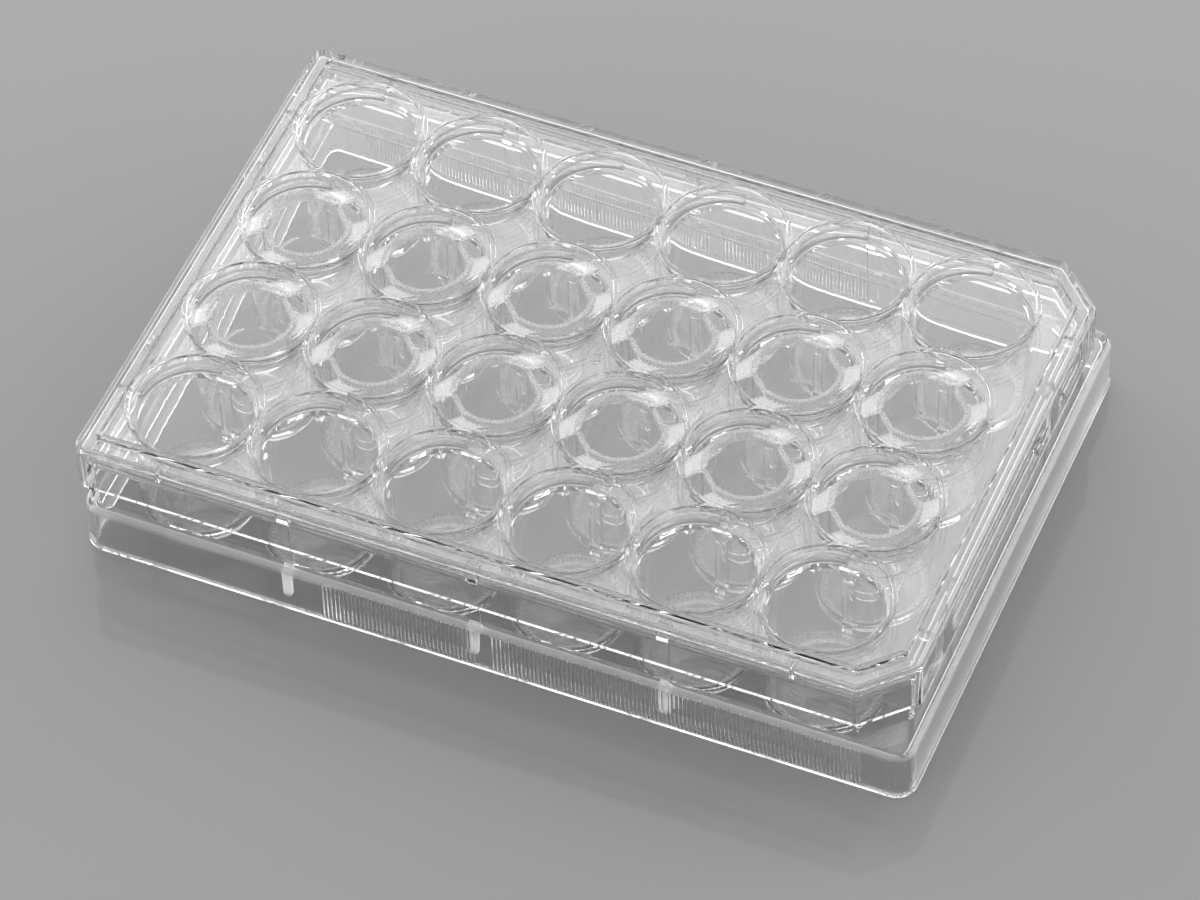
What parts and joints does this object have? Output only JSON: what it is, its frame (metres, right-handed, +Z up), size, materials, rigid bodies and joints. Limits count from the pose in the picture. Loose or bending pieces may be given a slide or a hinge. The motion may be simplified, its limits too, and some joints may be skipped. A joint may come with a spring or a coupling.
{
  "type": "well plate",
  "caption": "Clear lidded multiwell culture plate with round wells, a ribbed skirt, cut corners at one end and clear membrane inserts hanging in its middle rows.",
  "frame": {"origin": "centre of the footprint, on the surface the plate stands on", "axes": "+X along the long side towards the end with the cut corners, +Y across, +Z up out of the wells"},
  "size_m": [0.1278, 0.0854, 0.0225],
  "materials": {
    "clear_base": "clear moulded polystyrene, glossy",
    "clear_lid": "clear moulded polystyrene, glossy",
    "clear_insert": "clear moulded polystyrene, satin on the tabs",
    "membrane_film": "thin porous film, translucent"
  },
  "bodies": {
    "root": {"base_plate": "clear_base", "lid": "clear_lid", "insert_b1": "clear_insert", "insert_b2": "clear_insert", "insert_b3": "clear_insert", "insert_b4": "clear_insert", "insert_b5": "clear_insert", "insert_b6": "clear_insert", "insert_c1": "clear_insert", "insert_c2": "clear_insert", "insert_c3": "clear_insert", "insert_c4": "clear_insert", "insert_c5": "clear_insert", "insert_c6": "clear_insert", "membrane_b1": "membrane_film", "membrane_b2": "membrane_film", "membrane_b3": "membrane_film", "membrane_b4": "membrane_film", "membrane_b5": "membrane_film", "membrane_b6": "membrane_film", "membrane_c1": "membrane_film", "membrane_c2": "membrane_film", "membrane_c3": "membrane_film", "membrane_c4": "membrane_film", "membrane_c5": "membrane_film", "membrane_c6": "membrane_film"}
  },
  "joints": []
}
